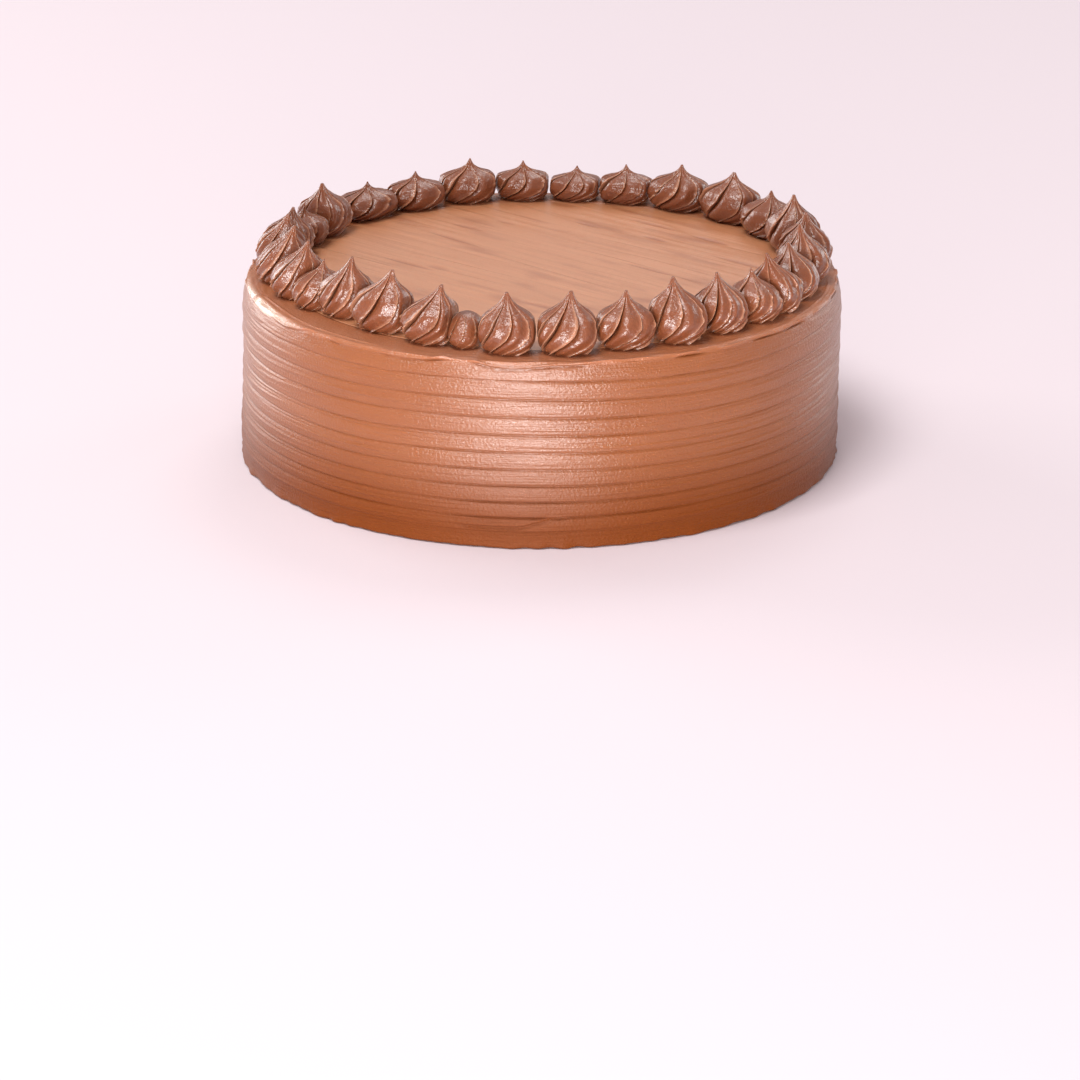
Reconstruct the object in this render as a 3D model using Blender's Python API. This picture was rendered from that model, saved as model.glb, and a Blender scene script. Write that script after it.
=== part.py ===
# A round chocolate layer cake, uncut and frosted all over, 228 mm across and 69 mm tall without its swirls.
# Its side is combed into level bands, the frosting folds into a thin lip round the top edge,
# and a ring of piped swirls stands on the top. The iced cake is one solid, and each swirl is
# one more. Metres, +Z up. The origin is on the surface that the cake rests on, under the
# middle of its base, and -Y is the front.

import math

import bpy
import numpy as np

MM = 0.001
SHARP_ANGLE = math.radians(40)

# The iced body
CAKE_RADIUS = 113.0 * MM
CAKE_HEIGHT = 68.6 * MM
BASE_SPREAD = 1.2 * MM
TOP_SHIFT = 1.2 * MM
BASE_ROUNDING = 1.6 * MM
BASE_TUCK = 0.2 * MM
SEGMENTS = 80

# Slow waves round the cake, each a count, a phase and a height: the side's, then the lip's
SIDE_WAVES = ((3, 0.6, 0.22 * MM), (5, 2.1, 0.13 * MM))
LIP_WAVES = ((4, 0.57, 0.15 * MM), (10, -0.57, 0.15 * MM))

# The comb's bands, from the top edge down: they are narrower low on the side. Each starts in a
# ledge under the groove above it and overhangs the one below it.
BAND_COUNT = 10
FIRST_GROOVE = 7.2 * MM
FIRST_PITCH = 7.0 * MM
PITCH_LOSS = 0.1 * MM
GROOVE_DEPTH = 0.9 * MM
LEDGE_HEIGHT = 1.3 * MM
OVERHANG_HEIGHT = 0.5 * MM
OVERHANG_BACK = 0.25 * MM
BAND_WAVE = 0.5 * MM
WAVE_DRIFT = 0.25
UNDER_LIP_WAVE = 0.3

# The folded lip round the top edge
LIP_START = 2.3 * MM
LIP_EDGE = 0.15 * MM
LIP_HEIGHT = 0.7 * MM
LIP_CREST = 1.0 * MM
LIP_WIDTH = 2.6 * MM

# The ring of piped swirls
SWIRL_GAP = 0.3 * MM
SWIRL_REACH = 10.2 * MM
SPREAD_OUT = 1.2
FOOT_WIDTH = 0.5
FOOT_POWER = 0.8
LEAN_POWER = 1.6
BLADES = 8
BLADE_DEPTH = 0.3
BLUNT_DEPTH = 0.1
BLADE_LAP = 0.2
BLADE_START = 2.4
TWIST = math.radians(62)
TWIST_POWER = 4
PRESS_POWER = 8
LEVELS = (0.0, 0.08, 0.2, 0.38, 0.54, 0.68, 0.85)

# The same squeeze of the bag fills every swirl, so one pulled up less is plumper. Each pair
# holds the value of a tall swirl and of a short one.
TALL, SHORT = 21.0 * MM, 17.5 * MM
SHOULDER = (0.36, 0.4)
NECK = (0.56, 0.5)
FALL = (4.5, 6)
SPIKE = 0.22
TIP_POWER = 0.1

# The icing was piped by hand, so every swirl differs. From the front, counter-clockwise seen
# from above: the bearing of its foot in degrees from +X, its foot's distance from the cake's
# middle, its height, and how far its tip leans towards the middle and along the ring, in mm.
BEARINGS = (
    262.8, 274.9, 287.6, 299.6, 311.8, 322.2, 331, 341, 352, 3.5, 15.5,
    28.5, 43.5, 58, 71, 82.5, 94.3, 106.8, 120, 133, 149, 158.5,
    168.5, 178, 187.5, 199, 209, 217.5, 231.2, 245, 253.5,
)
DISTANCES = (
    98.5, 98.5, 96, 97.5, 96.5, 97.5, 98.5, 98.5, 98.5, 99.5, 100,
    101, 102.5, 103, 103.5, 103.5, 103.5, 103.5, 102.5, 102.5, 99.5, 99.5,
    99.5, 99.5, 99, 96.5, 94, 90.5, 92, 94.7, 95,
)
HEIGHTS = (
    21, 21.5, 20, 23, 21, 19, 22, 20.5, 23, 22.5, 23.5,
    19, 20.5, 19, 16, 14, 16, 18, 15.5, 15, 21.5, 17,
    20.5, 22, 22.5, 22, 18, 22.5, 22.5, 21, 11.5,
)
LEAN_IN = (
    2.5, 2.5, 1.5, 2.5, 2, 2, 3, 3, 1.5, 0, 1,
    1, 1.5, 2, 2, 1.5, 1.5, 1.5, 2, 2, 2, 3,
    3.5, 4, 6, 4.5, 3, 1.5, 1.5, 1.5, 2,
)
LEAN_ALONG = (
    -0.5, 2, 1, -1, -1, -0.5, -5, 0.5, -2, -4, -3.5,
    -3, -4, -3, -1, -1, 0, -0.5, 0.5, 1, 4, 5,
    3, 1.5, 3.5, 4.5, 0.5, 3.5, 4.5, 4.5, -0.5,
)
# The last one is a small blob without a tip, squeezed into a gap in the ring.
BLUNT = 30
BLUNT_SHARE = 0.62
BLUNT_REACH = 0.85


def make_material(name, colour, roughness):
    """An icing: a Principled material with one colour and one roughness."""
    material = bpy.data.materials.new(name)
    material.use_nodes = True
    shader = material.node_tree.nodes["Principled BSDF"]
    shader.inputs["Base Color"].default_value = (*colour, 1.0)
    shader.inputs["Roughness"].default_value = roughness
    return material


def add_object(name, points, faces, material):
    """A mesh object from points and faces, shaded smooth up to the sharp angle."""
    mesh = bpy.data.meshes.new(name)
    mesh.from_pydata(points.tolist(), [], faces)
    mesh.materials.append(material)
    mesh.shade_smooth()
    mesh.set_sharp_from_angle(angle=SHARP_ANGLE)
    made = bpy.data.objects.new(name, mesh)
    bpy.context.scene.collection.objects.link(made)
    return made


def ring_faces(rows, count):
    """Quads, as pairs of triangles, between neighbouring rings of count points each."""
    faces = []
    for row in range(rows - 1):
        for i in range(count):
            near = row * count + i
            far = row * count + (i + 1) % count
            faces.append((near, far, far + count))
            faces.append((near, far + count, near + count))
    return faces


def fan_faces(start, count, centre, upward):
    """Triangles from a ring of points to one centre point."""
    faces = []
    for i in range(count):
        here = start + i
        after = start + (i + 1) % count
        faces.append((here, after, centre) if upward else (after, here, centre))
    return faces


def waves(turn, parts):
    """The sum of sine waves round the cake."""
    return sum(height * np.sin(count * turn + phase) for count, phase, height in parts)


def side_profile():
    """The body's outline from the base to the top: (height, set back from the side, wave)."""
    profile = [(0.0, BASE_ROUNDING, 0.0), (BASE_ROUNDING, BASE_TUCK, 0.0)]
    for band in reversed(range(BAND_COUNT)):
        groove = CAKE_HEIGHT - FIRST_GROOVE - band * (FIRST_PITCH - PITCH_LOSS * band)
        profile.append((groove - LEDGE_HEIGHT, 0.0, 1.0))
        profile.append((groove, GROOVE_DEPTH, 1.0))
        profile.append((groove + OVERHANG_HEIGHT, OVERHANG_BACK, 1.0))
    profile.append((CAKE_HEIGHT - LIP_START, 0.0, UNDER_LIP_WAVE))
    profile.append((CAKE_HEIGHT + LIP_EDGE, 0.0, 0.0))
    profile.append((CAKE_HEIGHT + LIP_HEIGHT, LIP_CREST, 0.0))
    profile.append((CAKE_HEIGHT, LIP_WIDTH, 0.0))
    return profile


def make_iced_cake(material):
    """The iced body: its outline turned round the middle, with the comb's slight waviness."""
    turn = np.linspace(0, 2 * math.pi, SEGMENTS, endpoint=False)
    wobble = waves(turn, SIDE_WAVES)
    rings = []
    for row, (height, set_back, wave) in enumerate(side_profile()):
        share = min(height / CAKE_HEIGHT, 1.0)
        radius = CAKE_RADIUS + BASE_SPREAD * (1 - share) - set_back + wobble * math.sin(math.pi * share)
        lift = wave * BAND_WAVE * np.sin(2 * turn + WAVE_DRIFT * row)
        if height > CAKE_HEIGHT:
            lift = waves(turn, LIP_WAVES)
        across = TOP_SHIFT * share + radius * np.cos(turn)
        along = radius * np.sin(turn)
        rings.append(np.stack([across, along, height + lift], axis=1))
    middles = np.array([[0.0, 0.0, 0.0], [TOP_SHIFT, 0.0, CAKE_HEIGHT]])
    points = np.concatenate(rings + [middles])
    last = len(points) - 1
    faces = ring_faces(len(rings), SEGMENTS)
    faces += fan_faces(0, SEGMENTS, last - 1, upward=False)
    faces += fan_faces((len(rings) - 1) * SEGMENTS, SEGMENTS, last, upward=True)
    return add_object("iced_cake", points, faces, material)


def bulb(level, height, blunt):
    """A swirl's width at a level from 0, its foot, to 1, its tip: a quarter sine wave up to the
    shoulder, then a fall to a fine spike. A blunt one ends in a dome."""
    plump = min(max((TALL - height) / (TALL - SHORT), 0.0), 1.0)
    shoulder, neck, fall = (tall + plump * (short - tall) for tall, short in (SHOULDER, NECK, FALL))
    if level < shoulder:
        return FOOT_WIDTH + (1 - FOOT_WIDTH) * math.sin(math.pi / 2 * (level / shoulder) ** FOOT_POWER)
    climb = (level - shoulder) / (1 - shoulder)
    if blunt:
        return math.sqrt(1 - climb**2)
    spire = (1 - SPIKE) / (1 + (climb / neck) ** fall) + SPIKE * (1 - climb)
    return spire * (1 - climb) ** TIP_POWER


def room_beside(index, step):
    """The angle from a swirl's middle to the plane where it meets the next one round the ring."""
    beside = (index + step) % len(BEARINGS)
    gap = step * (BEARINGS[beside] - BEARINGS[index]) % 360
    own, other = (BLUNT_SHARE if i == BLUNT else 1.0 for i in (index, beside))
    return math.radians(gap) * own / (own + other)


def press(along, limit):
    """Flattens what would pass the limit, as icing does against the swirl beside it."""
    return along / (1 + (np.abs(along) / limit) ** PRESS_POWER) ** (1 / PRESS_POWER)


def make_swirl(index, material):
    """One star-piped swirl: sharp blades that wind up a bulb to a tip leaning inwards."""
    blunt = index == BLUNT
    bearing = math.radians(BEARINGS[index])
    distance = DISTANCES[index] * MM
    outward = np.array([math.cos(bearing), math.sin(bearing)])
    onward = np.array([-math.sin(bearing), math.cos(bearing)])
    room_on = math.tan(room_beside(index, 1))
    room_back = math.tan(room_beside(index, -1))
    reach = SWIRL_REACH * (BLUNT_REACH if blunt else 1.0)
    girth = SPREAD_OUT * distance * (room_on + room_back) / 2
    height = HEIGHTS[index] * MM
    tip_in = LEAN_IN[index] * MM
    tip_along = LEAN_ALONG[index] * MM
    blade = 2 * math.pi / BLADES
    crest = blade * np.arange(BLADES) + BLADE_START * index
    turn = np.stack([crest, crest + BLADE_LAP * blade], axis=1).ravel()
    depth = np.tile([1.0, 1 - (BLUNT_DEPTH if blunt else BLADE_DEPTH)], BLADES)
    rings = []
    for level in LEVELS:
        angle = turn + TWIST * (1 - (1 - level) ** TWIST_POWER)
        width = bulb(level, height, blunt)
        flat = np.stack([np.cos(angle), np.sin(angle)], axis=1) * (width * depth)[:, None]
        lean = level**LEAN_POWER
        out = distance + flat @ outward * reach - tip_in * lean
        along = flat @ onward * girth + tip_along * lean
        on = press(along, out * room_on - SWIRL_GAP / 2)
        back = press(along, out * room_back - SWIRL_GAP / 2)
        place = out[:, None] * outward + np.where(along > 0, on, back)[:, None] * onward
        rise = np.full((len(place), 1), CAKE_HEIGHT + SWIRL_GAP + level * height)
        rings.append(np.concatenate([place, rise], axis=1))
    foot = rings[0].mean(axis=0)
    tip = (distance - tip_in) * outward + tip_along * onward
    tip = np.array([*tip, CAKE_HEIGHT + SWIRL_GAP + height])
    points = np.concatenate(rings + [foot[None], tip[None]])
    points[:, 0] += TOP_SHIFT
    around = 2 * BLADES
    last = len(points) - 1
    faces = ring_faces(len(rings), around)
    faces += fan_faces(0, around, last - 1, upward=False)
    faces += fan_faces((len(rings) - 1) * around, around, last, upward=True)
    return add_object(f"swirl_{index + 1:02d}", points, faces, material)


for old in list(bpy.data.objects):
    bpy.data.objects.remove(old)

combed = make_material("combed chocolate buttercream", (0.50, 0.23, 0.13), 0.5)
piped = make_material("piped chocolate buttercream", (0.33, 0.13, 0.075), 0.38)
make_iced_cake(combed)
for number in range(len(BEARINGS)):
    make_swirl(number, piped)
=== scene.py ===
# A round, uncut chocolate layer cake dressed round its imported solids: frosting combed into level
# bands, a top smoothed with a spatula, and a ring of piped swirls. Metres, +Z up, -Y the front.

import math

import bpy
import numpy as np
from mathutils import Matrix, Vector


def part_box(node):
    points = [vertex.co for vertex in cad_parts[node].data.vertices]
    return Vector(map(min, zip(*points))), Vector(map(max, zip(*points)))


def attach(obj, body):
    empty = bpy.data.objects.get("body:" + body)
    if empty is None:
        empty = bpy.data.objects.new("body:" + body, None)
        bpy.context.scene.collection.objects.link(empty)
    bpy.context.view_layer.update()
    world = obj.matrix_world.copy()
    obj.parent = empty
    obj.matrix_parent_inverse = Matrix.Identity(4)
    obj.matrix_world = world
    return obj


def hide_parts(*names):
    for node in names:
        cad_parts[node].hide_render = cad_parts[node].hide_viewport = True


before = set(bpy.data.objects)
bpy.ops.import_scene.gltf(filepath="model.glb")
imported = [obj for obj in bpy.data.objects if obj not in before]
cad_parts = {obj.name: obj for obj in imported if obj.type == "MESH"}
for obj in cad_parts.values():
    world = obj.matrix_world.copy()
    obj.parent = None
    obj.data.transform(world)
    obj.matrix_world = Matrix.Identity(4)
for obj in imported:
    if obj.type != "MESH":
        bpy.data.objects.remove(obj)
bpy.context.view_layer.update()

# The combed side
# Sponge under whipped chocolate buttercream. It was turned against a toothed comb, which left
# level bands: each hangs a little over the crease below it, leans in as it climbs, and dips in a
# short ledge to the crease above it.

MM = 0.001
BODY_LOW, BODY_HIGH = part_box("iced_cake")
LIP_RISE = 0.9 * MM
BASE_SPREAD = 1.2 * MM
TOP_SHIFT = 1.2 * MM
TOP = BODY_HIGH.z - LIP_RISE
SIDE_RADIUS = (BODY_HIGH.y - BODY_LOW.y) / 2 - BASE_SPREAD
SIDE_COLUMNS = 480

# The side's slow waves: how many go round, where each starts and how high it is
SIDE_WAVES = ((3, 0.6, 0.22 * MM), (5, 2.1, 0.13 * MM))
UNEVEN = 0.18 * MM

# The stretch that the comb pressed hardest, at the front
FRONT = math.radians(268)
FRONT_WIDTH = math.radians(34)

# Creases, from the top edge down: they stand closer together low on the side
BAND_COUNT = 10
FIRST_CREASE = 7.2 * MM
FIRST_PITCH = 7.0 * MM
PITCH_LOSS = 0.1 * MM
CREASE_SWAY = 0.28 * MM
CREASE_DEPTH = 0.7 * MM

# Shares of a crease's depth: all round, more at the front, more low down, and how patchy it is
PRESSED_LEAST = 0.34
PRESSED_FRONT = 0.5
PRESSED_LOW = 0.5
PATCHY = 0.3
PATCHY_LIMITS = (0.3, 1.5)

# A band's relief: its ends at both creases, its lean and its belly
BAND_ROWS = 21
ROW_CROWDING = 0.4
LEDGE_HEIGHT = 1.5 * MM
OVERHANG_HEIGHT = 0.5 * MM
OVERHANG_SHARE = 0.45
BAND_LEAN = 0.35 * MM
LEAN_LEAST = 0.6
LEAN_PRESSED = 0.4
BAND_BELLY = 0.28 * MM

# The burr along the ledge, and the thin second crease beside it
BURR = 0.12 * MM
BURR_PLACE = 0.8 * LEDGE_HEIGHT
BURR_WIDTH = 0.35 * MM
DOUBLE_PLACE = 1.4 * MM
DOUBLE_WIDTH = 0.24 * MM
DOUBLE_DEPTH = 0.4 * MM

# The faint ridge half way up a band and the faint crease over it, as shares of the band
MINOR_HEIGHT = 0.24 * MM
MINOR_PLACE = 0.45
MINOR_SWAY = 0.1
MINOR_WIDTH = 0.07
MINOR_CREASE = 0.8
MINOR_CREASE_OVER = 0.12
MINOR_CREASE_WIDTH = 0.05

# The stroke of the comb that overlaps the lowest bands at the front
STROKE_START = math.radians(254)
STROKE_END = math.radians(276)
STROKE_LOW = 8.0 * MM
STROKE_HIGH = 11.3 * MM
STROKE_DEPTH = 0.8 * MM
SHARP_SIDE = 0.35 * MM
SOFT_SIDE = 1.1 * MM
PUSHED_UP = 0.4 * MM
PUSHED_PLACE = 0.8 * MM
PUSHED_WIDTH = 0.4 * MM

# The rounded foot in millimetres: heights, and how far each stands back. Its raggedness fades
# with height.
FOOT = ((0.0, 1.8), (0.05, 0.9), (0.3, 0.35), (0.7, 0.0), (1.1, -0.05), (1.7, 0.1), (2.6, 0.1))
RAGGED_FADE = 1.2
RAGGED_EDGE = 0.35
RAGGED_CRUMB = 0.25

# Where the side ends, in under the folded edge
UNDER_EDGE_RISE = 0.2 * MM
UNDER_EDGE_BACK = 3 * MM


def ripple(across, along, across_rate, along_rate, seed, count=20):
    """Smooth unevenness of about unit height: sine waves of both coordinates, added up, with
    drawn rates and phases. Rates across are whole numbers, so the waves close round a turn."""
    draw = np.random.default_rng(seed)
    total = 0.0
    for _ in range(count):
        rate = draw.integers(1, across_rate + 1)
        climb = draw.uniform(-along_rate, along_rate)
        total = total + np.sin(rate * across + climb * along + draw.uniform(0, 2 * math.pi))
    return total * math.sqrt(2 / count)


def bump_at(place, centre, width):
    """A smooth hump of unit height: the exponential of minus the squared distance over width."""
    return np.exp(-(((place - centre) / width) ** 2))


def smooth_step(share):
    """Nought to one with level ends: three times the square less twice the cube."""
    share = np.clip(share, 0, 1)
    return share**2 * (3 - 2 * share)


def skin(name, points, marks):
    """A closed mesh over rows of points that run round the object, from its lowest row to its
    highest, with a point in the middle of either end. Marks are one number a point, by name."""
    rows, columns = points.shape[:2]
    flat = points.reshape(-1, 3)
    ends = np.stack([points[0].mean(axis=0), points[-1].mean(axis=0)])
    here = np.arange(rows * columns).reshape(rows, columns)
    after = np.roll(here, -1, axis=1)
    quads = np.stack([here[:-1], after[:-1], after[1:], here[1:]], axis=-1).reshape(-1, 4)
    floor = np.stack([after[0], here[0], np.full(columns, rows * columns)], axis=-1)
    roof = np.stack([here[-1], after[-1], np.full(columns, rows * columns + 1)], axis=-1)
    faces = quads.tolist() + floor.tolist() + roof.tolist()
    mesh = bpy.data.meshes.new(name)
    mesh.from_pydata(np.concatenate([flat, ends]).tolist(), [], faces)
    for mark, values in marks.items():
        layer = mesh.attributes.new(mark, "FLOAT", "POINT")
        layer.data.foreach_set("value", np.append(values.ravel(), (0.0, 0.0)).astype(np.float32))
    mesh.shade_smooth()
    piece = bpy.data.objects.new(name, mesh)
    bpy.context.scene.collection.objects.link(piece)
    return piece


def side_place(turn, height, back):
    """A point of the body: height up its leaning axis, and the side's radius there less back out
    from it. The radius widens to the base and wobbles most at half height."""
    share = np.clip(height / TOP, 0, 1)
    wobble = sum(wave * np.sin(count * turn + phase) for count, phase, wave in SIDE_WAVES)
    wobble = wobble + UNEVEN * ripple(turn, height, 9, 120, 11)
    radius = SIDE_RADIUS + BASE_SPREAD * (1 - share) - back + wobble * np.sin(math.pi * share)
    x = TOP_SHIFT * share + radius * np.cos(turn)
    return np.stack([x, radius * np.sin(turn), height], axis=-1)


def crease_height(step, turn):
    """The height of a crease: a tooth's pitch below the last, swaying slowly round the cake."""
    level = TOP - FIRST_CREASE - step * (FIRST_PITCH - PITCH_LOSS * step)
    return level + CREASE_SWAY * ripple(turn, step, 6, 0.5, 21)


def crease_depth(step, turn):
    """How deep a crease is: deepest at the front and low down, where the comb pressed harder,
    and patchy all round."""
    pressed = PRESSED_LEAST + PRESSED_FRONT * bump_at(turn, FRONT, FRONT_WIDTH)
    pressed = pressed + PRESSED_LOW * (step / BAND_COUNT) ** 2
    patchy = np.clip(1 + PATCHY * ripple(turn, step, 14, 1.3, 22), *PATCHY_LIMITS)
    return CREASE_DEPTH * pressed * patchy


def stroke_back(turn, height):
    """The crease of the overlapping stroke: a line that runs level and then climbs at the front,
    with a sharp upper side, a soft lower one, and the frosting it pushed up in a ridge over it."""
    along = (turn - STROKE_START) / (STROKE_END - STROKE_START)
    line = STROKE_LOW + (STROKE_HIGH - STROKE_LOW) * smooth_step((along - 0.5) / 0.4)
    inside = smooth_step(np.minimum(along, 1 - along) * 6)
    off = height - line
    width = np.where(off > 0, SHARP_SIDE, SOFT_SIDE)
    ridge = PUSHED_UP * bump_at(off, PUSHED_PLACE, PUSHED_WIDTH)
    return inside * (STROKE_DEPTH * np.exp(-((off / width) ** 2)) - ridge)


def overhang_back(step, turn, above_crease):
    """How far the frosting just over a crease stands back: a share of that crease's depth, less
    and less up to the height of the overhang."""
    shown = 1 - smooth_step(above_crease / OVERHANG_HEIGHT)
    return OVERHANG_SHARE * crease_depth(step, turn) * shown


def band_back(step, turn, share, gap):
    """How far a band stands back, by its share of the way up to the crease above it: it hangs
    over the crease below it, leans in as it climbs and ends in a ledge under the crease above it,
    with a burr along the ledge, a thin second crease in places and a faint ridge under a faint
    crease about half way."""
    below_crease, above_crease = (1 - share) * gap, share * gap
    upper = crease_depth(step - 1, turn)
    ledge = upper * np.clip(1 - below_crease / LEDGE_HEIGHT, 0, 1) ** 2
    overhang = overhang_back(step, turn, above_crease)
    lean = BAND_LEAN * (share - 0.5) * (LEAN_LEAST + LEAN_PRESSED * upper / CREASE_DEPTH)
    burr = BURR * bump_at(below_crease, BURR_PLACE, BURR_WIDTH)
    second = np.clip(ripple(turn, step, 9, 2.5, 25) + 0.2, 0, 1)
    second = DOUBLE_DEPTH * bump_at(below_crease, DOUBLE_PLACE, DOUBLE_WIDTH) * second
    middle = MINOR_PLACE + MINOR_SWAY * ripple(turn, step, 5, 2, 23)
    minor_crease = MINOR_CREASE * bump_at(share, middle + MINOR_CREASE_OVER, MINOR_CREASE_WIDTH)
    minor = bump_at(share, middle, MINOR_WIDTH) - minor_crease
    minor = MINOR_HEIGHT * minor * np.clip(ripple(turn, step, 8, 3, 24) + 0.5, 0, 1.3)
    belly = 4 * BAND_BELLY * share * (1 - share)
    return ledge + overhang + lean - belly - burr + second - minor


def side_rows():
    """Rows round the side, from the middle of its base to just over the highest crease, where
    they turn in under the folded edge. In each band they crowd towards both creases."""
    turn = np.linspace(0, 2 * math.pi, SIDE_COLUMNS, endpoint=False)[None, :]
    edge = ripple(turn, 0, 90, 0, 31, 40)
    places = []
    for height, back in FOOT:
        crumb = ripple(turn, height, 120, 2, 32, 40)
        rough = math.exp(-height / RAGGED_FADE) * (RAGGED_EDGE * edge + RAGGED_CRUMB * crumb)
        places.append(side_place(turn, height * MM + 0 * turn, (back - rough) * MM))
    share = np.linspace(0, 1, BAND_ROWS, endpoint=False)
    share = (share - ROW_CROWDING * np.sin(2 * math.pi * share) / (2 * math.pi))[:, None]
    for step in range(BAND_COUNT - 1, 0, -1):
        lower = crease_height(step, turn)
        gap = crease_height(step - 1, turn) - lower
        height = lower + share * gap
        back = band_back(step, turn, share, gap) + stroke_back(turn, height)
        places.append(side_place(turn, height, back))
    top_crease = crease_height(0, turn)
    places.append(side_place(turn, top_crease, crease_depth(0, turn)))
    places.append(side_place(turn, top_crease + UNDER_EDGE_RISE, UNDER_EDGE_BACK + 0 * turn))
    return np.concatenate(places)


def linear(code):
    """An sRGB hex colour as linear red, green, blue and alpha."""
    shares = [int(code[i : i + 2], 16) / 255 for i in (0, 2, 4)]
    return (*[c / 12.92 if c <= 0.04045 else ((c + 0.055) / 1.055) ** 2.4 for c in shares], 1.0)


def add_node(tree, kind, settings, links):
    """Adds one node: settings are its own attributes or the values of its inputs, and links are
    its inputs fed by other nodes' outputs."""
    node = tree.nodes.new("ShaderNode" + kind)
    for key, value in settings.items():
        if isinstance(key, int) or key in node.inputs:
            node.inputs[key].default_value = value
        else:
            setattr(node, key, value)
    for key, socket in links.items():
        tree.links.new(socket, node.inputs[key])
    return node


def new_material(name, settings):
    """A material, its node tree and its Principled shader, with the given constants on it."""
    material = bpy.data.materials.new(name)
    material.use_nodes = True
    tree = material.node_tree
    shader = tree.nodes["Principled BSDF"]
    for key, value in settings.items():
        shader.inputs[key].default_value = value
    return material, tree, shader


def mix_colours(tree, share, first, second):
    """The output of a node that mixes two colours, or sockets, by a share."""
    node = add_node(tree, "Mix", {"data_type": "RGBA"}, {0: share})
    for slot, colour in ((6, first), (7, second)):
        if isinstance(colour, str):
            node.inputs[slot].default_value = linear(colour)
        else:
            tree.links.new(colour, node.inputs[slot])
    return node.outputs[2]


# Light goes about a millimetre into any buttercream, red light farthest
LIGHT_IN_FAT = {
    "Subsurface Weight": 0.1,
    "Subsurface Radius": (0.9, 0.4, 0.25),
    "Subsurface Scale": 0.0015,
}

# Patterns of the combed side, in repeats a metre: striations 25 mm long and 0.8 mm apart, clouds
# 33 mm long and 11 mm high, and a grain of 0.9 mm, coarser than the real one so that it shows
DRAG_SCALE = (40, 40, 1250)
CLOUD_SCALE = (30, 30, 90)
COMBED_GRAIN_SCALE = 1100
DRAG_BUMP = 0.4 * MM
COMBED_GRAIN_BUMP = 0.26 * MM

# Heights between which the side is painted browner, with dimmer reflections, as painted shade,
# heights between which it grows rougher, and how far up the edge is paler
PAINTED_SHADE_HIGH, PAINTED_SHADE_LOW = 42 * MM, 2 * MM
DULL_HIGH, DULL_LOW = 38 * MM, 6 * MM
PALE_EDGE = 1.6 * MM


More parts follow.
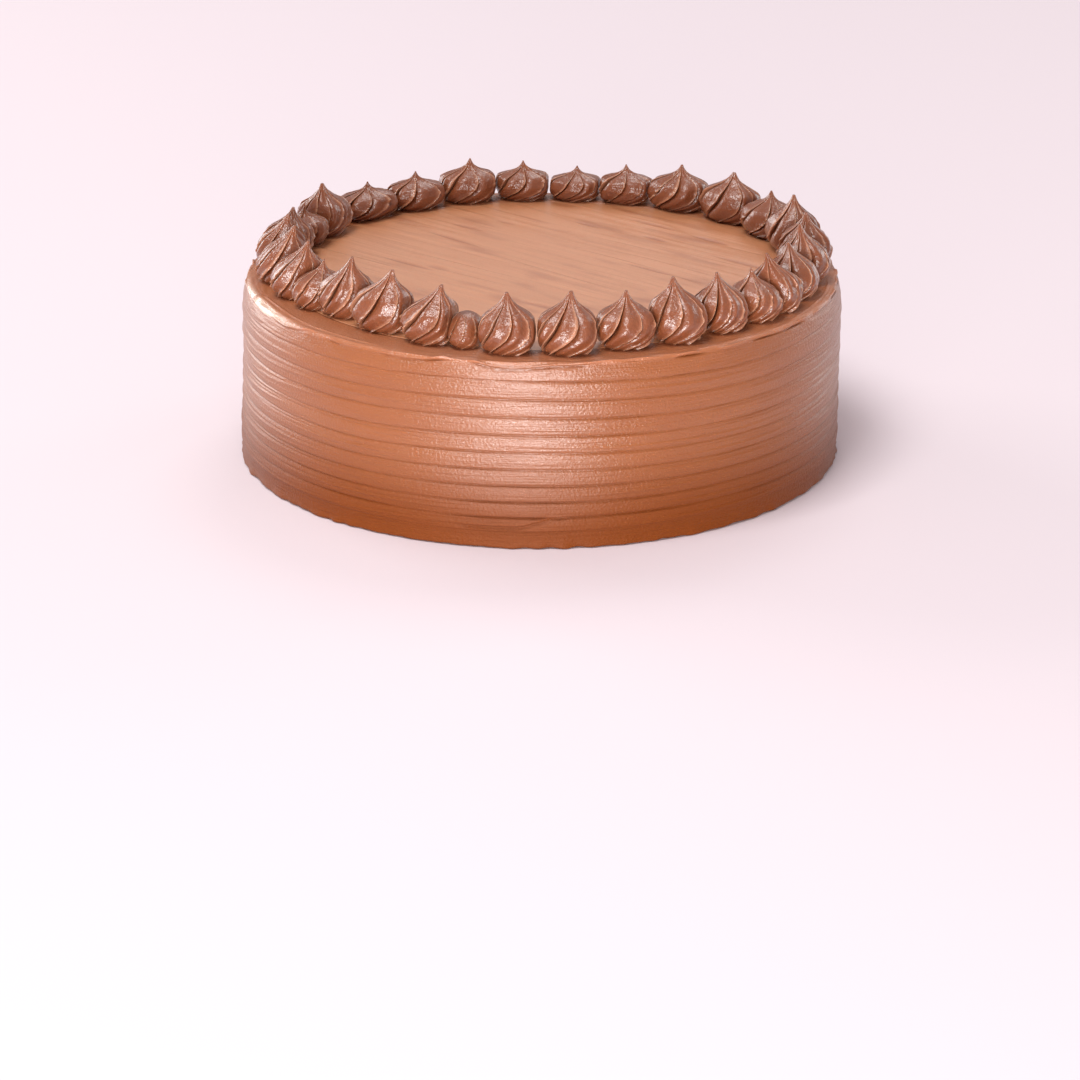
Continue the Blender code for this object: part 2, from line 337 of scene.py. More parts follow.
def combed_buttercream():
    """Whipped chocolate buttercream dragged by a comb. The fat gives it a satin sheen, which the
    fine level striations of the drag, about 0.8 mm apart, spread up and down. The air in it leaves
    a fine grain. Low on the side it is duller, and painted browner with dimmer reflections, as
    painted shade. Where the edge was scraped it is smooth and glossy, with a pale painted
    highlight. It is painted much darker than the smoothed top, the same buttercream, as painted
    shade."""
    sheen = {
        "IOR": 1.5,
        "Specular IOR Level": 1.0,
        "Anisotropic": 0.7,
        "Anisotropic Rotation": 0.25,
        "Coat Roughness": 0.35,
    }
    material, tree, shader = new_material("combed chocolate buttercream", LIGHT_IN_FAT | sheen)
    place = add_node(tree, "TexCoord", {}, {}).outputs["Object"]
    level = add_node(tree, "Mapping", {"Scale": DRAG_SCALE}, {"Vector": place}).outputs[0]
    drag = add_node(tree, "TexNoise", {"Scale": 1, "Detail": 3}, {"Vector": level}).outputs[0]
    broad = add_node(tree, "Mapping", {"Scale": CLOUD_SCALE}, {"Vector": place}).outputs[0]
    cloud = add_node(tree, "TexNoise", {"Scale": 1, "Detail": 3}, {"Vector": broad}).outputs[0]
    speck = {"Scale": COMBED_GRAIN_SCALE, "Detail": 3}
    grain = add_node(tree, "TexNoise", speck, {"Vector": place}).outputs[0]
    height = add_node(tree, "SeparateXYZ", {}, {0: place}).outputs["Z"]
    fade = {"From Min": PAINTED_SHADE_HIGH, "From Max": PAINTED_SHADE_LOW, "To Max": 0.85}
    fade["interpolation_type"] = "SMOOTHSTEP"
    painted_shade = add_node(tree, "MapRange", fade, {"Value": height}).outputs[0]
    rim = {"From Min": TOP - PALE_EDGE, "From Max": TOP}
    edge = add_node(tree, "MapRange", rim, {"Value": height}).outputs[0]
    scraped_and_highlight = add_node(tree, "Attribute", {"attribute_name": "scraped_and_highlight"}, {}).outputs["Fac"]
    # The side's colours are much darker than the smoothed top's, though both are the same
    # buttercream: the difference is painted shade
    tint = mix_colours(tree, cloud, "824420", "97572A")
    tint = mix_colours(tree, grain, tint, "8E4F25")
    # Painted shade: browner towards the base
    tint = mix_colours(tree, painted_shade, tint, "6A2F06")
    tint = mix_colours(tree, edge, tint, "A6643F")
    # Painted highlight: pale where the edge was scraped, for the glint of its glossy face
    tint = mix_colours(tree, scraped_and_highlight, tint, "DCB49A")
    tree.links.new(tint, shader.inputs["Base Color"])
    tree.links.new(scraped_and_highlight, shader.inputs["Coat Weight"])
    # Painted shade in the reflections: the specular tint darkens towards the base
    shaded_reflection = mix_colours(tree, painted_shade, "FFFFFF", "6E4A38")
    tree.links.new(shaded_reflection, shader.inputs["Specular Tint"])
    fade = {"From Min": DULL_HIGH, "From Max": DULL_LOW, "To Max": 0.24}
    dull = add_node(tree, "MapRange", fade, {"Value": height}).outputs[0]
    gloss = add_node(tree, "MapRange", {"To Min": 0.3, "To Max": 0.42}, {"Value": drag}).outputs[0]
    gloss = add_node(tree, "Math", {"operation": "ADD"}, {0: gloss, 1: dull}).outputs[0]
    smooth = {"operation": "MULTIPLY_ADD", 1: -0.22}
    gloss = add_node(tree, "Math", smooth, {0: scraped_and_highlight, 2: gloss}).outputs[0]
    tree.links.new(gloss, shader.inputs["Roughness"])
    round_way = {"direction_type": "RADIAL", "axis": "Z"}
    round_way = add_node(tree, "Tangent", round_way, {}).outputs[0]
    tree.links.new(round_way, shader.inputs["Tangent"])
    bump = {"Strength": 1.0, "Distance": COMBED_GRAIN_BUMP}
    fine = add_node(tree, "Bump", bump, {"Height": grain}).outputs[0]
    bump = {"Strength": 1.0, "Distance": DRAG_BUMP}
    scored = add_node(tree, "Bump", bump, {"Height": drag, "Normal": fine}).outputs[0]
    for socket in ("Normal", "Coat Normal"):
        tree.links.new(scored, shader.inputs[socket])
    return material


combed_icing = combed_buttercream()
combed_side = skin("combed_side", side_rows(), {})
combed_side.data.materials.append(combed_icing)
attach(combed_side, "root")
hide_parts("iced_cake")

# The folded edge
# The same buttercream above the highest crease. What the comb and the spatula pushed past the
# top edge was folded in over it by hand: a thin, broken lip, tucked under and glossy in places.

EDGE_COLUMNS = 1200
CORNER_ROWS = 17
CORNER_FRONT = 1.0 * MM
CORNER_SIDES = 2.0 * MM

# Rows of the edge: shares of the way up its side, and millimetres in from its corner
EDGE_UP = (0.0, 0.04, 0.08, 0.13, 0.2, 0.3, 0.45, 0.6, 0.72, 0.82, 0.9, 0.96)
EDGE_INWARD = (0.25, 0.5, 0.8, 1.1, 1.45, 1.8, 2.2, 2.7, 3.4, 4.4)

# How far the edge draws in to its corner
SHOULDER = 1.1 * MM
SHOULDER_POWER = 1.5

# The lip, at a share of the corner, and the tuck below it
FOLD_PLACE = 0.7
FOLD_SWAY = 0.45 * MM
FOLD_HEIGHT = 0.65 * MM
FOLD_WIDTH = 0.36 * MM
TUCK_DEPTH = 1.1 * MM
TUCK_WIDTH = 0.32 * MM
TUCK_BELOW = 0.9 * MM

# The low ridge where the fold ends on the top, and the edge's fine unevenness
INNER_RIDGE = 0.3 * MM
INNER_PLACE = 1.6 * MM
INNER_SWAY = 0.4 * MM
INNER_WIDTH = 0.35 * MM
EDGE_UNEVEN = 0.06 * MM

# The level ring under the swirls, and the seat that it makes for the smoothed top
LEDGE_ROWS = 7
LEDGE_WIDTH = 16.0 * MM
LEDGE_DIPS = 0.12 * MM
SEAT_DEPTH = 0.8 * MM
SEAT_STARTS = 0.2 * MM
SEAT_ENDS = 6 * MM

# Where the edge starts, in under its own foot
START_BELOW = 0.3 * MM
START_BACK = 2 * MM

# The stretch at the left where the lip is scraped to a slanting, glossy face
SCRAPED = math.radians(200)
SCRAPED_WIDTH = math.radians(12)
SCRAPED_CUT = 1.5 * MM
SCRAPED_LOSS = 0.8


def edge_profile(turn, corner):
    """The edge before it is folded, row by row: up the side from the highest crease, a quarter
    turn round the corner, and in over the top. Gives how far each row stands back, its height,
    its way along the profile from the corner's start, and the angle by which it faces up."""
    lowest = crease_height(0, turn)
    rise = TOP - corner - lowest
    up = np.array(EDGE_UP)[:, None]
    bend = np.linspace(0, math.pi / 2, CORNER_ROWS)[:, None]
    inward = np.array(EDGE_INWARD)[:, None] * MM
    side = overhang_back(0, turn, up * rise) + SHOULDER * up**SHOULDER_POWER
    back = np.concatenate([side, SHOULDER + corner * (1 - np.cos(bend)), SHOULDER + corner + inward])
    rounded = TOP - corner * (1 - np.sin(bend))
    height = np.concatenate([lowest + up * rise, rounded, TOP + 0 * inward * turn])
    way = np.concatenate([(up - 1) * rise, corner * bend, corner * math.pi / 2 + inward])
    facing = np.concatenate([0 * up, bend, math.pi / 2 + 0 * inward])
    return back, height, way, facing


def edge_relief(turn, way, corner, front, scraped_and_highlight):
    """How far the edge stands out along its normal: a hump for the lip, less one below it where
    the fold tucks under, both less where it was scraped, and a low, broken ridge on the top."""
    ridge = FOLD_PLACE * corner + FOLD_SWAY * ripple(turn, 0, 26, 0, 51, 30)
    folded = np.clip(0.35 + 0.35 * front + 0.6 * ripple(turn, 0, 60, 0, 52, 40), 0, 1.4)
    tucked = np.clip(0.5 * front + 0.8 * ripple(turn, 0, 40, 0, 53, 40), 0, 1.2)
    kept = 1 - SCRAPED_LOSS * scraped_and_highlight
    lip = FOLD_HEIGHT * folded * bump_at(way, ridge, FOLD_WIDTH) * kept
    tuck = TUCK_DEPTH * tucked * bump_at(way, ridge - TUCK_BELOW, TUCK_WIDTH) * kept
    inner = corner * math.pi / 2 + INNER_PLACE + INNER_SWAY * ripple(turn, 0, 14, 0, 55)
    broken = np.clip(ripple(turn, 0, 9, 0, 56), 0, 1.2)
    out = lip - tuck + INNER_RIDGE * bump_at(way, inner, INNER_WIDTH) * broken
    return out + EDGE_UNEVEN * ripple(turn, way, 60, 3000, 57, 40)


def edge_rows():
    """Rows of the folded edge: its profile pushed out into the lip, the level ring inside it, and
    the seat of the smoothed top. The corner's round is cut to a slanting face where it was
    scraped. The marks say how far each point is scraped, and so where its colour holds a
    painted highlight."""
    turn = np.linspace(0, 2 * math.pi, EDGE_COLUMNS, endpoint=False)[None, :]
    front = bump_at(turn, FRONT, FRONT_WIDTH)
    patchy = np.clip(0.9 + 0.7 * ripple(turn, 0, 60, 0, 54, 30), 0, 1)
    scraped_and_highlight = bump_at(turn, SCRAPED, SCRAPED_WIDTH) * patchy
    corner = CORNER_SIDES + (CORNER_FRONT - CORNER_SIDES) * front + SCRAPED_CUT * scraped_and_highlight
    back, height, way, facing = edge_profile(turn, corner)
    out = edge_relief(turn, way, corner, front, scraped_and_highlight)
    ledge = back[-1] + np.linspace(0.1, 1, LEDGE_ROWS)[:, None] * (LEDGE_WIDTH - back[-1])
    dips = LEDGE_DIPS * ripple(turn, ledge, 12, 400, 41) * (1 - ledge / LEDGE_WIDTH)
    seat = np.array([LEDGE_WIDTH + SEAT_STARTS, LEDGE_WIDTH + SEAT_ENDS])[:, None]
    points = np.concatenate(
        [
            side_place(turn, crease_height(0, turn) - START_BELOW, START_BACK + 0 * turn),
            side_place(turn, height + out * np.sin(facing), back - out * np.cos(facing)),
            side_place(turn, TOP + dips, ledge),
            side_place(turn, TOP - SEAT_DEPTH + 0 * seat * turn, seat),
        ]
    )
    marks = np.zeros(points.shape[:2])
    marks[1 : 1 + len(facing)] = np.clip(np.sin(2 * facing), 0, 1) * scraped_and_highlight
    return points, marks


points, marks = edge_rows()
folded_edge = skin("folded_edge", points, {"scraped_and_highlight": marks})
folded_edge.data.materials.append(combed_icing)
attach(folded_edge, "root")
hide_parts("iced_cake")

# The smoothed top
# The same buttercream, drawn flat with a long spatula in slanting strokes from the back left to
# the front right. Each stroke ends against the last in a low, soft step.

TOP_RADIUS = 97.2 * MM
TOP_RINGS = 130
TOP_COLUMNS = 640
INNERMOST_RING = 0.6 * MM
RIM_FADE = 6 * MM
SPATULA_SLANT = math.radians(-42)

# The two lowest rings, under the rim, as shares of the seat's depth
RIM_DEPTHS = (2, 0.3)

# Steps between strokes, the share of one over which it falls, and the slower and finer relief
STEP_HEIGHT = 0.28 * MM
STEP_PITCH = 11.0 * MM
STEP_FALL = 0.12
SWELL = 0.1 * MM
SCORE = 0.03 * MM

# Torn marks. Reach, lengths, widths and the width of their ends are in millimetres.
MARK_COUNT = 22
MARK_DEPTH = 0.3 * MM
MARK_REACH = (-82, 82)
MARK_LENGTHS = (5, 17)
MARK_WIDTHS = (0.6, 1.2)
MARK_END = 0.35
MARK_BENDS = (-0.08, 0.08)


def spatula_marks(across, along):
    """The thin marks where the spatula tore the frosting, from nought to one: lenses that lie along
    its strokes, each with a drawn place, length and width, and a bell curve across it."""
    draw = np.random.default_rng(67)
    deep = 0 * across
    for _ in range(MARK_COUNT):
        middle, off = draw.uniform(*MARK_REACH, 2) * MM
        length = draw.uniform(*MARK_LENGTHS) * MM
        width = draw.uniform(*MARK_WIDTHS) * MM
        lens = np.clip(1 - ((along - middle) / length) ** 2, 0, 1)
        bend = draw.uniform(*MARK_BENDS) * (along - middle)
        bell = bump_at(across, off + bend, MARK_END * MM + width * lens)
        deep = np.maximum(deep, draw.uniform(0.5, 1) * bell * np.sqrt(lens))
    return deep


def spatula_height(across, along):
    """The relief the spatula leaves, from the place across and along its strokes: slow swells, and
    steps that rise gently and fall quickly, where a slow noise lets them show."""
    phase = across / STEP_PITCH + 0.55 * ripple(along / 0.09, across, 2, 90, 62)
    tooth = phase - np.floor(phase)
    step = tooth * np.clip((1 - tooth) / STEP_FALL, 0, 1)
    shown = np.clip(0.2 + 0.7 * ripple(along / 0.03, across, 2, 260, 63), 0, 1)
    swell = SWELL * ripple(along / 0.05, across, 2, 300, 64)
    fine = SCORE * ripple(along / 0.03, across, 2, 1500, 65)
    return STEP_HEIGHT * step * shown + swell + fine


def top_rows():
    """Rows of the top slab from under its rim to its middle, and how torn it is there, which also
    sets the painted shade in the marks. Its relief fades to the rim."""
    turn = np.linspace(0, 2 * math.pi, TOP_COLUMNS, endpoint=False)[None, :]
    rings = np.linspace(TOP_RADIUS, INNERMOST_RING, TOP_RINGS)
    radius = np.concatenate([[TOP_RADIUS, TOP_RADIUS], rings])[:, None]
    x, y = radius * np.cos(turn), radius * np.sin(turn)
    along = x * math.cos(SPATULA_SLANT) + y * math.sin(SPATULA_SLANT)
    across = y * math.cos(SPATULA_SLANT) - x * math.sin(SPATULA_SLANT)
    torn_and_shaded = spatula_marks(across, along)
    relief = spatula_height(across, along) - MARK_DEPTH * torn_and_shaded
    height = TOP + relief * np.clip((TOP_RADIUS - radius) / RIM_FADE, 0, 1)
    height[:2] = TOP - np.array(RIM_DEPTHS)[:, None] * SEAT_DEPTH
    return np.stack([x + TOP_SHIFT, y, height], axis=-1), torn_and_shaded


# Patterns of the smoothed top, in repeats a metre: streaks 45 mm long and 2.4 mm apart,
# patches of painted shade 40 mm long and 9 mm wide, and a grain of 0.8 mm, coarser than
# the real one
STREAK_SCALE = (22, 420, 1)
PATCH_SCALE = (25, 110, 1)
SMOOTHED_GRAIN_SCALE = 1300
STREAK_BUMP = 0.3 * MM
SMOOTHED_GRAIN_BUMP = 0.12 * MM


def smoothed_buttercream():
    """Buttercream drawn flat. It is matter than the combed side, and the spatula leaves slanting
    streaks about 2 mm apart. Slanting patches and the torn marks are painted darker, as painted
    shade."""
    sheen = {"IOR": 1.46, "Coat Weight": 1.0, "Coat Roughness": 0.32}
    material, tree, shader = new_material("smoothed chocolate buttercream", LIGHT_IN_FAT | sheen)
    place = add_node(tree, "TexCoord", {}, {}).outputs["Object"]
    turned = {"Rotation": (0, 0, -SPATULA_SLANT)}
    slant = add_node(tree, "Mapping", turned, {"Vector": place}).outputs[0]
    drawn = add_node(tree, "Mapping", {"Scale": STREAK_SCALE}, {"Vector": slant}).outputs[0]
    streak = add_node(tree, "TexNoise", {"Scale": 1, "Detail": 3}, {"Vector": drawn}).outputs[0]
    patch = add_node(tree, "Mapping", {"Scale": PATCH_SCALE}, {"Vector": slant}).outputs[0]
    painted_shade = add_node(tree, "TexNoise", {"Scale": 1, "Detail": 2}, {"Vector": patch}).outputs[0]
    speck = {"Scale": SMOOTHED_GRAIN_SCALE, "Detail": 2}
    grain = add_node(tree, "TexNoise", speck, {"Vector": place}).outputs[0]
    # Painted shade: darker slanting patches, for the shadows of the spatula's steps
    dark = add_node(tree, "MapRange", {"From Min": 0.54, "From Max": 0.8}, {"Value": painted_shade}).outputs[0]
    torn_and_shaded = add_node(tree, "Attribute", {"attribute_name": "torn_and_shaded"}, {}).outputs["Fac"]
    tint = mix_colours(tree, streak, "BC7A50", "D09067")
    tint = mix_colours(tree, dark, tint, "A05E3A")
    # Painted shade in the torn marks: darker colour on top of their real dents
    tint = mix_colours(tree, torn_and_shaded, tint, "9A5632")
    tree.links.new(tint, shader.inputs["Base Color"])
    gloss = add_node(tree, "MapRange", {"To Min": 0.4, "To Max": 0.52}, {"Value": streak}).outputs[0]
    tree.links.new(gloss, shader.inputs["Roughness"])
    bump = {"Strength": 0.2, "Distance": SMOOTHED_GRAIN_BUMP}
    fine = add_node(tree, "Bump", bump, {"Height": grain}).outputs[0]
    bump = {"Strength": 0.5, "Distance": STREAK_BUMP}
    scored = add_node(tree, "Bump", bump, {"Height": streak, "Normal": fine}).outputs[0]
    for socket in ("Normal", "Coat Normal"):
        tree.links.new(scored, shader.inputs[socket])
    return material


points, marks = top_rows()
smoothed_top = skin("smoothed_top", points, {"torn_and_shaded": marks})
smoothed_top.data.materials.append(smoothed_buttercream())
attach(smoothed_top, "root")
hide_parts("iced_cake")

# The piped swirls
# Stiffer chocolate buttercream pressed out of a bag through a star nozzle held upright. Each
# swells into a bulb, gets a slight turn of the wrist, and is drawn up to a point. The nozzle's
# teeth leave sharp crests with a smooth face between each two, and neighbours press together.

SWIRL_COUNT = 31
SWIRL_ROWS = 54
ROW_SHIFT = 0.04
SWIRL_REACH = 10.2 * MM
SPREAD_OUT = 1.2
SINK = 0.4 * MM
LEAN_POWER = 1.6
TWIST = math.radians(72)
TWIST_VARIES = (0.85, 1.2)
TWIST_POWER = 4

# Neighbours flatten against each other and run together by this much
RUN_TOGETHER = 0.15 * MM
PRESS_POWER = 8

# The nozzle's teeth. The first crest stands this far round from the swirl's outward side, and
# the rest follow in uneven steps.
BLADES = 8
BLADE_COLUMNS = 16
BLADE_START = math.radians(-62)
BLADE_DRIFT = 0.16
BLADE_VARIES = 0.32
BLADE_DEPTH = 0.46
BLUNT_DEPTH = 0.12
DEPTH_VARIES = 0.3
DEPTH_AT_FOOT = 0.85
DEPTH_HIGHER = 0.4
DEEPEST_CUT = 0.62

# Between two crests, as shares of the way: the cleft, the lobe and the dip before the next crest
COLUMN_CROWDING = 0.84
CLEFT = 0.1
LOBE_START = 0.06
LOBE_PEAKS = (0.5, 0.7)
DIPS = (0.15, 0.45)
DIP_POWER = 14
OVERHANG = 0.26
OVERHANG_WIDTH = 0.09
CREST_WIDTH = 0.03

# Shares of a swirl's width: its wobble, its crests' wobble, and the toes where they end
WOBBLE = 0.03
CREST_WOBBLE = 0.025
TOE = 0.2
TOE_HEIGHT = 0.07

# The same squeeze of the bag fills every swirl, so one pulled up less is plumper. Each pair
# holds the value of a tall swirl and of a short one.
TALL, SHORT = 21.0 * MM, 17.5 * MM
WIDEST = (0.36, 0.4)
NECK = (0.56, 0.5)
FALL = (4.5, 6)
FOOT_WIDTH = 0.5
FOOT_POWER = 0.8
SPIKE = 0.22
TIP_POWER = 0.1

# The last one is a small blob without a tip, squeezed into a gap in the ring
BLUNT = 30
BLUNT_SHARE = 0.62
BLUNT_REACH = 0.85

# How close to the lowest point of a packed swirl its other lowest points lie
LEVEL_WITHIN = 0.01 * MM


def ends_of(index):
    """A packed swirl's foot and tip: the middle of its lowest points, and its highest point."""
    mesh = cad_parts[f"swirl_{index + 1:02d}"].data
    places = np.empty(len(mesh.vertices) * 3)
    mesh.vertices.foreach_get("co", places)
    places = places.reshape(-1, 3)
    lowest = places[places[:, 2] < places[:, 2].min() + LEVEL_WITHIN]
    lowest = np.unique(np.round(lowest, 6), axis=0)
    return lowest.mean(axis=0), places[places[:, 2].argmax()]


def bulb(level, height, blunt):
    """A swirl's width by its level from foot, 0, to tip, 1: a quarter sine wave up to its widest,
    then a fall as one over one plus a power, with a thin cone on it. A blunt one ends in a dome."""
    plump = min(max((TALL - height) / (TALL - SHORT), 0), 1)
    pairs = (WIDEST, NECK, FALL)
    widest, neck, fall = (tall + plump * (short - tall) for tall, short in pairs)
    rise = np.clip(level / widest, 0, 1) ** FOOT_POWER
    below = FOOT_WIDTH + (1 - FOOT_WIDTH) * np.sin(math.pi / 2 * rise)
    climb = np.clip((level - widest) / (1 - widest), 0, 1)
    spire = (1 - SPIKE) / (1 + (climb / neck) ** fall) + SPIKE * (1 - climb)
    above = np.sqrt(1 - climb**2) if blunt else spire * (1 - climb) ** TIP_POWER
    return np.where(level < widest, below, above)


def star_section(draw):
    """The nozzle's section, for each point round it: its angle, how far it stands back from the
    crests, as a share of the deepest, and how near it is to a crest. From a crest it drops at
    once into a cleft, swells into a round lobe, dips, and ends in the next crest, whose thin edge
    leans over the cleft behind it."""
    wide = 1 + BLADE_VARIES * draw.uniform(-1, 1, BLADES)
    wide = wide / wide.sum() * 2 * math.pi
    starts = np.cumsum(wide) - wide
    even = np.arange(BLADE_COLUMNS) / BLADE_COLUMNS
    share = (even - COLUMN_CROWDING * np.sin(2 * math.pi * even) / (2 * math.pi))[None, :]
    climb = np.clip((share - LOBE_START) / (1 - LOBE_START), 0, 1)
    peak = draw.uniform(*LOBE_PEAKS, (BLADES, 1))
    dip = draw.uniform(*DIPS, (BLADES, 1))
    lobe = 1 - np.clip(1 - climb / peak, 0, 1) ** 2
    past = np.clip((climb - peak) / (1 - peak), 0, 1)
    rise = lobe - dip * past**2 + dip * climb**DIP_POWER
    deep = 1 + DEPTH_VARIES * draw.uniform(-1, 1, (BLADES, 1))
    recess = deep * smooth_step(share / CLEFT) * (1 - rise)
    near = bump_at(share, 0, OVERHANG_WIDTH) + bump_at(share, 1, OVERHANG_WIDTH)
    angle = starts[:, None] + wide[:, None] * (share + OVERHANG * near)
    crest = bump_at(share, 0, CREST_WIDTH) + bump_at(share, 1, CREST_WIDTH) + 0 * deep
    return angle.ravel(), recess.ravel(), crest.ravel()


def press(along, limit):
    """Flattens what would pass the limit, as icing does against the swirl beside it."""
    return along / (1 + (np.abs(along) / limit) ** PRESS_POWER) ** (1 / PRESS_POWER)


def swirl_rows(index, ends, rooms):
    """Rows of a swirl from foot to tip: the star section, scaled by the bulb, twisted at the foot,
    stretched along the ring, leaning to its tip and pressed against its neighbours. Each crest
    ends in a small toe at the foot."""
    foot, tip = ends
    draw = np.random.default_rng(700 + index)
    section, recess, crest = star_section(draw)
    level = np.linspace(0, 1, SWIRL_ROWS, endpoint=False)[:, None]
    level = level + ROW_SHIFT * np.sin(2 * math.pi * level)
    bearing = math.atan2(foot[1], foot[0] - TOP_SHIFT)
    outward = np.array([math.cos(bearing), math.sin(bearing)])
    onward = np.array([-math.sin(bearing), math.cos(bearing)])
    ring_radius = math.hypot(foot[0] - TOP_SHIFT, foot[1])
    reach = SWIRL_REACH * (BLUNT_REACH if index == BLUNT else 1.0)
    girth = SPREAD_OUT * ring_radius * (rooms[0] + rooms[1]) / 2
    lean = np.array([tip[0] - foot[0], tip[1] - foot[1]])
    turned = TWIST * draw.uniform(*TWIST_VARIES) * (1 - (1 - level) ** TWIST_POWER)
    angle = section[None, :] + bearing + BLADE_START + BLADE_DRIFT * draw.uniform(-1, 1) + turned
    deepest = BLUNT_DEPTH if index == BLUNT else BLADE_DEPTH
    depth = deepest * recess[None, :] * (DEPTH_AT_FOOT + DEPTH_HIGHER * np.clip(level / 0.5, 0, 1))
    width = bulb(level, tip[2] - TOP, index == BLUNT) * (1 - np.clip(depth, 0, DEEPEST_CUT))
    width = width * (1 + WOBBLE * ripple(angle, level, 5, 9, 900 + index))
    uneven = ripple(0 * angle, level, 1, 60, 940 + index)
    width = width * (1 + CREST_WOBBLE * crest[None, :] * uneven)
    width = width * (1 + TOE * crest[None, :] * bump_at(level, 0, TOE_HEIGHT))
    swept = level**LEAN_POWER
    out = ring_radius + width * np.cos(angle - bearing) * reach + (lean @ outward) * swept
    along = width * np.sin(angle - bearing) * girth + (lean @ onward) * swept
    on = press(along, out * rooms[0] + RUN_TOGETHER / 2)
    back = press(along, out * rooms[1] + RUN_TOGETHER / 2)
    side = np.where(along > 0, on, back)
    x = TOP_SHIFT + out * outward[0] + side * onward[0]
    y = out * outward[1] + side * onward[1]
    z = TOP - SINK + level * (tip[2] - TOP + SINK) + 0 * x
    marks = {"crest": np.broadcast_to(crest, x.shape), "recess": np.broadcast_to(recess, x.shape)}
    return np.stack([x, y, z], axis=-1), marks


# Patterns of the swirls, in repeats a metre: clouds of 7 mm, lumps of 3 mm, and a grain of
# 1.1 mm, coarser than the real one so that it shows
SWIRL_CLOUD_SCALE = 140
LUMP_SCALE = 320
SWIRL_GRAIN_SCALE = 900
LUMP_BUMP = 0.5 * MM
SWIRL_GRAIN_BUMP = 0.32 * MM


def piped_buttercream():
    """Stiff, well beaten buttercream. Smooth from the nozzle's metal, so glossier than the rest.
    Its crests are painted paler, a painted highlight, and its recesses darker, painted shade."""
    sheen = {"IOR": 1.46, "Coat Weight": 0.7, "Coat Roughness": 0.22}
    material, tree, shader = new_material("piped chocolate buttercream", LIGHT_IN_FAT | sheen)
    place = add_node(tree, "TexCoord", {}, {}).outputs["Object"]
    speck = {"Scale": SWIRL_CLOUD_SCALE, "Detail": 3}
    cloud = add_node(tree, "TexNoise", speck, {"Vector": place}).outputs[0]
    speck = {"Scale": SWIRL_GRAIN_SCALE, "Detail": 3}
    grain = add_node(tree, "TexNoise", speck, {"Vector": place}).outputs[0]
    speck = {"Scale": LUMP_SCALE, "Detail": 2}
    lumps = add_node(tree, "TexNoise", speck, {"Vector": place}).outputs[0]
    crest = add_node(tree, "Attribute", {"attribute_name": "crest"}, {}).outputs["Fac"]
    recess = add_node(tree, "Attribute", {"attribute_name": "recess"}, {}).outputs["Fac"]
    # Painted highlight on the crests and painted shade in the recesses
    crest_highlight = add_node(tree, "Math", {"operation": "MULTIPLY", 1: 0.65}, {0: crest}).outputs[0]
    tint = mix_colours(tree, cloud, "743C22", "864C2F")
    tint = mix_colours(tree, recess, tint, "542812")
    tint = mix_colours(tree, crest_highlight, tint, "C08A6C")
    tree.links.new(tint, shader.inputs["Base Color"])
    gloss = add_node(tree, "MapRange", {"To Min": 0.26, "To Max": 0.4}, {"Value": cloud}).outputs[0]
    tree.links.new(gloss, shader.inputs["Roughness"])
    bump = {"Strength": 1.0, "Distance": SWIRL_GRAIN_BUMP}
    fine = add_node(tree, "Bump", bump, {"Height": grain}).outputs[0]
    bump = {"Strength": 0.4, "Distance": LUMP_BUMP}
    soft = add_node(tree, "Bump", bump, {"Height": lumps, "Normal": fine}).outputs[0]
    for socket in ("Normal", "Coat Normal"):
        tree.links.new(soft, shader.inputs[socket])
    return material


swirl_icing = piped_buttercream()
swirl_ends = [ends_of(index) for index in range(SWIRL_COUNT)]
bearings = [math.atan2(foot[1], foot[0] - TOP_SHIFT) for foot, _ in swirl_ends]
for index, ends in enumerate(swirl_ends):
    rooms = []
    for step in (1, -1):
        beside = (index + step) % SWIRL_COUNT
        own, other = (BLUNT_SHARE if i == BLUNT else 1.0 for i in (index, beside))
        gap = step * (bearings[beside] - bearings[index]) % (2 * math.pi)
        rooms.append(math.tan(gap * own / (own + other)))
    points, marks = swirl_rows(index, ends, rooms)
    swirl = skin(f"piped_swirl_{index + 1:02d}", points, marks)
    swirl.data.materials.append(swirl_icing)
    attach(swirl, "root")
    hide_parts(f"swirl_{index + 1:02d}")

# The studio
# A pale floor under the cake, soft light from large panels, and the camera at the photograph's
# place: a long lens 1.3 m away, looking 21 degrees down.

FLOOR_HALF = 6.0
FLOOR_DROP = 0.1 * MM
FLOOR_COLOUR = "DFD3D8"
WORLD_COLOUR = "FFF2F4"
WORLD_STRENGTH = 0.4

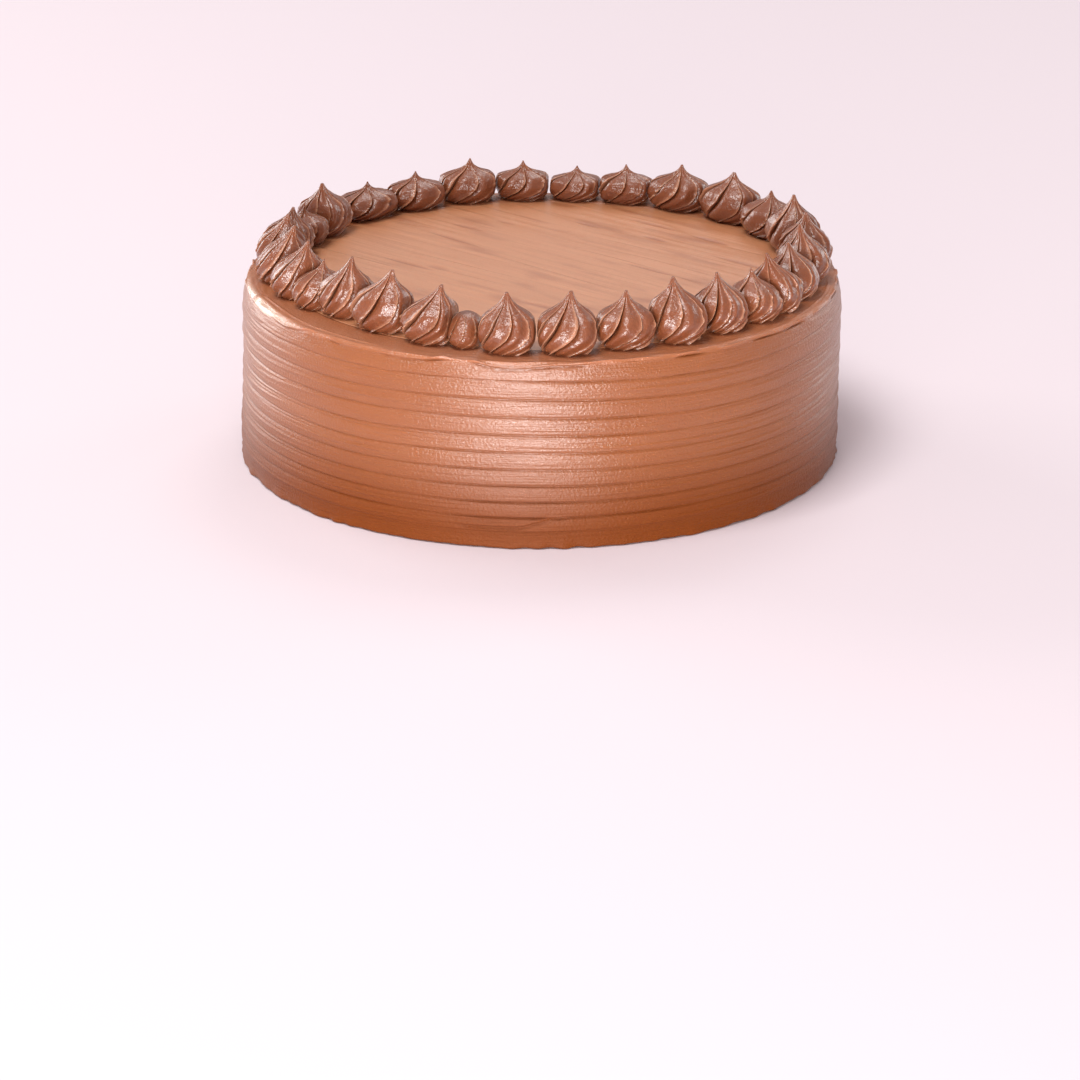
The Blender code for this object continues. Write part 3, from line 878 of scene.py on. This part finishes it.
# Light panels: name, place, width, height and watts. Each faces this height over the middle.
PANEL_AIM = 0.05
PANELS = (
    ("left panel", (-1.6, 1.2, 0.55), 1.3, 1.2, 23),
    ("right panel", (1.6, 1.3, 0.5), 0.9, 0.9, 7),
    ("front panel", (-0.15, -1.45, 0.13), 0.85, 0.26, 25),
    ("top panel", (-0.51, -0.62, 1.9), 0.88, 0.88, 28),
    ("back panel", (0.3, 1.2, 1.5), 0.8, 0.8, 7),
)

CAMERA_PLACE = (0.0004, -1.2398, 0.4409)
CAMERA_DOWN = 21.232
LENS_LENGTH = 113.6
SENSOR_WIDTH = 36


def add_panel(name, place, width, height, power):
    """A white light panel that faces the middle of the cake."""
    light = bpy.data.lights.new(name, "AREA")
    light.shape = "RECTANGLE"
    light.size = width
    light.size_y = height
    light.energy = power
    panel = bpy.data.objects.new(name, light)
    panel.location = place
    aim = np.array([0, 0, PANEL_AIM]) - np.array(place)
    tilt = math.pi / 2 + math.atan2(aim[2], math.hypot(aim[0], aim[1]))
    panel.rotation_euler = (tilt, 0, math.atan2(aim[1], aim[0]) - math.pi / 2)
    bpy.context.scene.collection.objects.link(panel)


floor_mesh = bpy.data.meshes.new("floor")
corners = [(-1, -1), (1, -1), (1, 1), (-1, 1)]
corners = [(FLOOR_HALF * x, FLOOR_HALF * y, -FLOOR_DROP) for x, y in corners]
floor_mesh.from_pydata(corners, [], [(0, 1, 2, 3)])
floor = bpy.data.objects.new("floor", floor_mesh)
bpy.context.scene.collection.objects.link(floor)
matt = {"Roughness": 0.9, "Base Color": linear(FLOOR_COLOUR)}
floor_mesh.materials.append(new_material("matt studio floor", matt)[0])

world = bpy.data.worlds.new("studio")
world.use_nodes = True
backdrop = world.node_tree.nodes["Background"]
backdrop.inputs["Color"].default_value = linear(WORLD_COLOUR)
backdrop.inputs["Strength"].default_value = WORLD_STRENGTH
bpy.context.scene.world = world

for panel in PANELS:
    add_panel(*panel)

lens = bpy.data.cameras.new("camera")
lens.sensor_width = SENSOR_WIDTH
lens.lens = LENS_LENGTH
lens.clip_start = 0.05
lens.clip_end = 30
camera = bpy.data.objects.new("camera", lens)
camera.location = CAMERA_PLACE
camera.rotation_euler = (math.radians(90 - CAMERA_DOWN), 0, 0)
bpy.context.scene.collection.objects.link(camera)
bpy.context.scene.camera = camera
bpy.context.scene.view_settings.view_transform = "Standard"
